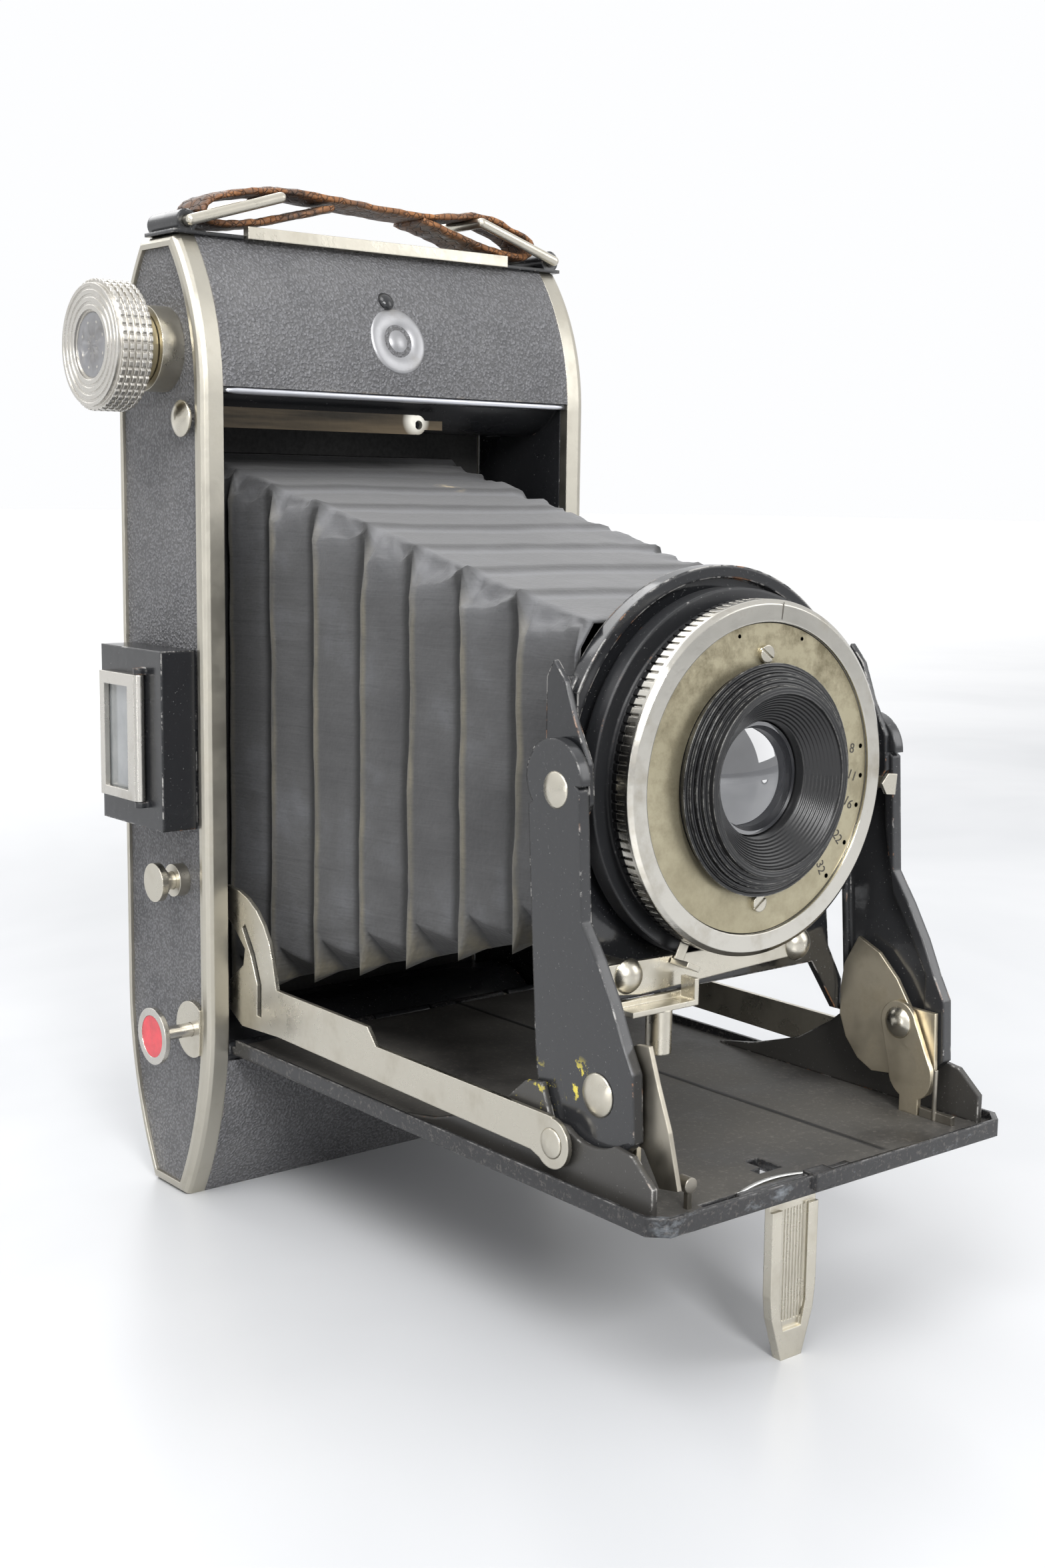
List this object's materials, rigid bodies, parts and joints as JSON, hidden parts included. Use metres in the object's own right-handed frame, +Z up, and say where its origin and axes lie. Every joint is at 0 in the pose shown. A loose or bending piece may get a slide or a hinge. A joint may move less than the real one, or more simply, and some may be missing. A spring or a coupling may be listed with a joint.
{
  "type": "folding roll film camera",
  "caption": "Folding roll film camera with a drop bed, self-erecting lens standard, pleated bellows, side finder, winding knob and folding leg.",
  "frame": {"origin": "on the flat bottom end of the body, the face that it stands on", "axes": "+Z up along the body's height, -Y the way the lens looks, +X to the right of a viewer facing the lens"},
  "size_m": [0.095, 0.1364, 0.1737],
  "materials": {
    "black_metal": "gloss black enamel, worn to bare metal on its edges",
    "nickel": "worn warm nickel plate",
    "leatherette": "black pebble-grained covering",
    "strap_leather": "cracked dark brown leather with tan wear",
    "bellows_cloth": "charcoal leather cloth, worn on the folds",
    "brass": "dull brass",
    "champagne_plate": "etched pale brass face",
    "black_enamel": "gloss black",
    "matte_black": "matt black",
    "steel": "dull plated steel",
    "red_enamel": "red enamel",
    "red_glass": "dark red celluloid",
    "glass": "clear coated glass"
  },
  "bodies": {
    "body": {"body_shell": "black_metal", "side_rims": "nickel", "side_leather": "leatherette", "front_leather": "leatherette", "film_gate": "matte_black", "hinge_pins": "steel", "link_studs": "nickel", "handle_brackets": "black_metal", "handle_bar": "nickel", "handle_loops": "nickel", "handle_strap": "strap_leather", "side_escutcheons": "nickel", "spool_pins": "steel", "finder_housing": "black_enamel", "bellows": "bellows_cloth"},
    "winder": {"winding_knob": "nickel", "winding_key": "steel", "take_up_spool": "matte_black"},
    "supply_spool": {"supply_spool": "matte_black"},
    "roller_top": {"roller_top": "steel"},
    "roller_bottom": {"roller_bottom": "steel"},
    "bed_latch": {"release_button": "nickel", "latch_bar": "brass"},
    "side_button": {"side_button": "nickel"},
    "red_plunger": {"red_plunger": "nickel", "red_dot": "red_enamel"},
    "finder_front": {"finder_front_frame": "nickel", "finder_front_glass": "glass"},
    "finder_rear": {"finder_eyepiece": "steel", "finder_eye_glass": "glass"},
    "bed": {"bed_plate": "black_metal", "bed_leather": "leatherette", "link_ears": "black_metal", "strut_brackets": "steel", "bed_rivets": "nickel", "lever_springs": "steel"},
    "leg": {"leg": "nickel"},
    "struts": {"struts": "black_metal", "strut_rivets": "nickel"},
    "lock_lever_left": {"lock_lever_left": "steel"},
    "lock_lever_right": {"lock_lever_right": "steel"},
    "links": {"side_links": "nickel"},
    "standard": {"lens_board": "black_metal", "shutter_case": "black_enamel", "faceplate": "champagne_plate", "shutter_fasteners": "nickel", "lens_barrel": "black_enamel", "lens_glass": "glass", "shutter_blades": "matte_black", "crossbar": "nickel", "cable_socket": "nickel"},
    "knurled_ring": {"knurled_ring": "nickel"},
    "aperture_pointer": {"aperture_pointer": "nickel"},
    "release_lever": {"release_lever": "nickel"},
    "back": {"back_cover": "black_metal", "back_leather": "leatherette", "red_window": "red_glass", "pressure_plate": "steel"},
    "back_latch": {"back_latch": "nickel"}
  },
  "joints": [
    {"name": "bed_fold", "type": "hinge", "parent": "body", "child": "bed", "pos_m": [0, -0.0128, 0.0276], "axis": [-1, 0, 0], "range_deg": [0, 90], "deforming": ["bellows"]},
    {"name": "strut_fold", "type": "hinge", "parent": "bed", "child": "struts", "pos_m": [0, -0.1049, 0.0421], "axis": [-1, 0, 0], "range_deg": [0, 78.65]},
    {"name": "standard_fold", "type": "hinge", "parent": "struts", "child": "standard", "pos_m": [0, -0.095, 0.0826], "axis": [-1, 0, 0], "range_deg": [-168.65, 0]},
    {"name": "link_fold", "type": "hinge", "parent": "bed", "child": "links", "pos_m": [0, -0.0984, 0.0341], "axis": [-1, 0, 0], "range_deg": [0, 2.7]},
    {"name": "leg_fold", "type": "hinge", "parent": "bed", "child": "leg", "pos_m": [-0.0036, -0.1136, 0.0255], "axis": [1, 0, 0], "range_deg": [0, 90]},
    {"name": "lock_lever_left_press", "type": "hinge", "parent": "bed", "child": "lock_lever_left", "pos_m": [-0.03045, -0.1049, 0.0421], "axis": [1, 0, 0], "range_deg": [-5, 0]},
    {"name": "lock_lever_right_press", "type": "hinge", "parent": "struts", "child": "lock_lever_right", "pos_m": [0.03045, -0.1049, 0.0421], "axis": [1, 0, 0], "range_deg": [-5, 0]},
    {"name": "winding", "type": "hinge", "parent": "body", "child": "winder", "pos_m": [-0.048, -0.001, 0.1455], "axis": [1, 0, 0], "continuous": true},
    {"name": "supply_spool_turn", "type": "hinge", "parent": "body", "child": "supply_spool", "pos_m": [0, 0.0005, 0.0184], "axis": [1, 0, 0], "continuous": true},
    {"name": "roller_top_turn", "type": "hinge", "parent": "body", "child": "roller_top", "pos_m": [0, 0.0096, 0.1386], "axis": [1, 0, 0], "continuous": true},
    {"name": "roller_bottom_turn", "type": "hinge", "parent": "body", "child": "roller_bottom", "pos_m": [0, 0.0096, 0.0261], "axis": [1, 0, 0], "continuous": true},
    {"name": "bed_latch_press", "type": "slide", "parent": "body", "child": "bed_latch", "axis": [1, 0, 0], "range_m": [0, 0.001], "stiffness_N_per_m": 400},
    {"name": "side_button_press", "type": "slide", "parent": "body", "child": "side_button", "axis": [1, 0, 0], "range_m": [0, 0.0014], "stiffness_N_per_m": 400},
    {"name": "red_plunger_press", "type": "slide", "parent": "body", "child": "red_plunger", "axis": [1, 0, 0], "range_m": [0, 0.002], "stiffness_N_per_m": 400},
    {"name": "finder_front_flip", "type": "hinge", "parent": "body", "child": "finder_front", "pos_m": [-0.0485, -0.0056, 0.0814], "axis": [0, 0, 1], "range_deg": [0, 90]},
    {"name": "finder_rear_flip", "type": "hinge", "parent": "body", "child": "finder_rear", "pos_m": [-0.0464, 0.0053, 0.0815], "axis": [0, 0, -1], "range_deg": [0, 90]},
    {"name": "ring_turn", "type": "hinge", "parent": "standard", "child": "knurled_ring", "pos_m": [0, -0.1, 0.0822], "axis": [0, 1, 0], "range_deg": [-20, 20]},
    {"name": "aperture_set", "type": "hinge", "parent": "standard", "child": "aperture_pointer", "pos_m": [0, -0.0975, 0.0822], "axis": [0, 1, 0], "range_deg": [-16, 36]},
    {"name": "shutter_release", "type": "hinge", "parent": "standard", "child": "release_lever", "pos_m": [0, -0.098, 0.0822], "axis": [0, 1, 0], "range_deg": [0, 8], "stiffness_Nm_per_rad": 0.02},
    {"name": "back_open", "type": "hinge", "parent": "body", "child": "back", "pos_m": [0, 0.009, 0.00685], "axis": [-1, 0, 0], "range_deg": [0, 85]},
    {"name": "back_latch_slide", "type": "slide", "parent": "body", "child": "back_latch", "axis": [1, 0, 0], "range_m": [-0.003, 0.003]}
  ],
  "couplings": [
    {"joint": "strut_fold", "follows": "bed_fold", "ratio": 0.8733},
    {"joint": "standard_fold", "follows": "bed_fold", "ratio": -1.8733},
    {"joint": "link_fold", "follows": "bed_fold", "ratio": 0.0289},
    {"joint": "finder_rear_flip", "follows": "finder_front_flip", "ratio": 1}
  ]
}
